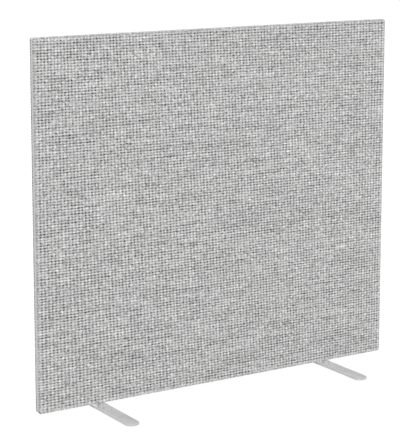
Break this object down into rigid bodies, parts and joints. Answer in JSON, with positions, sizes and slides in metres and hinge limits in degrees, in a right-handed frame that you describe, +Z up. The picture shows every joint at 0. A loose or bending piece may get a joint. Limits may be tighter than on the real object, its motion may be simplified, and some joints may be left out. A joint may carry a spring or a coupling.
{
  "type": "acoustic divider screen",
  "caption": "Fabric-covered acoustic divider screen with a smooth band along its edge, standing on swivelling flat-bar feet.",
  "frame": {"origin": "on the floor under the middle of the screen", "axes": "+X along the screen to the right seen from the front, -Y towards the front, +Z up"},
  "size_m": [1.6, 0.51, 1.425],
  "materials": {
    "timber": "planed",
    "dowel_wood": "turned",
    "absorber": "felted fibre",
    "wadding": "soft fibre",
    "cover_fabric": "coarse woven, heathered light grey",
    "edge_profile": "matt light-grey coated",
    "corner_piece": "matt light grey",
    "foot_steel": "fine-textured grey powder coat",
    "boss_steel": "satin grey",
    "screw_steel": "zinc-plated",
    "insert_brass": "plain",
    "washer_plastic": "plain",
    "pad_rubber": "matt"
  },
  "bodies": {
    "screen": {"frame_bottom_rail": "timber", "frame_top_rail": "timber", "frame_left_stile": "timber", "frame_right_stile": "timber", "frame_middle_post": "timber", "frame_dowels": "dowel_wood", "absorber_left": "absorber", "absorber_right": "absorber", "front_wadding": "wadding", "back_wadding": "wadding", "front_cover": "cover_fabric", "back_cover": "cover_fabric", "edge_profile_top": "edge_profile", "edge_profile_bottom": "edge_profile", "edge_profile_left": "edge_profile", "edge_profile_right": "edge_profile", "corner_top_left": "corner_piece", "corner_top_right": "corner_piece", "corner_bottom_left": "corner_piece", "corner_bottom_right": "corner_piece", "insert_left": "insert_brass", "insert_right": "insert_brass", "pivot_boss_left": "boss_steel", "pivot_boss_right": "boss_steel", "foot_screw_left": "screw_steel", "foot_screw_right": "screw_steel", "retaining_washer_left": "screw_steel", "retaining_washer_right": "screw_steel"},
    "foot_left": {"foot_left": "foot_steel", "friction_washer_left": "washer_plastic", "floor_pad_left_front": "pad_rubber", "floor_pad_left_back": "pad_rubber"},
    "foot_right": {"foot_right": "foot_steel", "friction_washer_right": "washer_plastic", "floor_pad_right_front": "pad_rubber", "floor_pad_right_back": "pad_rubber"}
  },
  "joints": [
    {"name": "foot_swivel_left", "type": "hinge", "parent": "screen", "child": "foot_left", "pos_m": [-0.53, 0, 0.006], "axis": [0, 0, 1], "range_deg": [-90, 90]},
    {"name": "foot_swivel_right", "type": "hinge", "parent": "screen", "child": "foot_right", "pos_m": [0.53, 0, 0.006], "axis": [0, 0, 1], "range_deg": [-90, 90]}
  ]
}
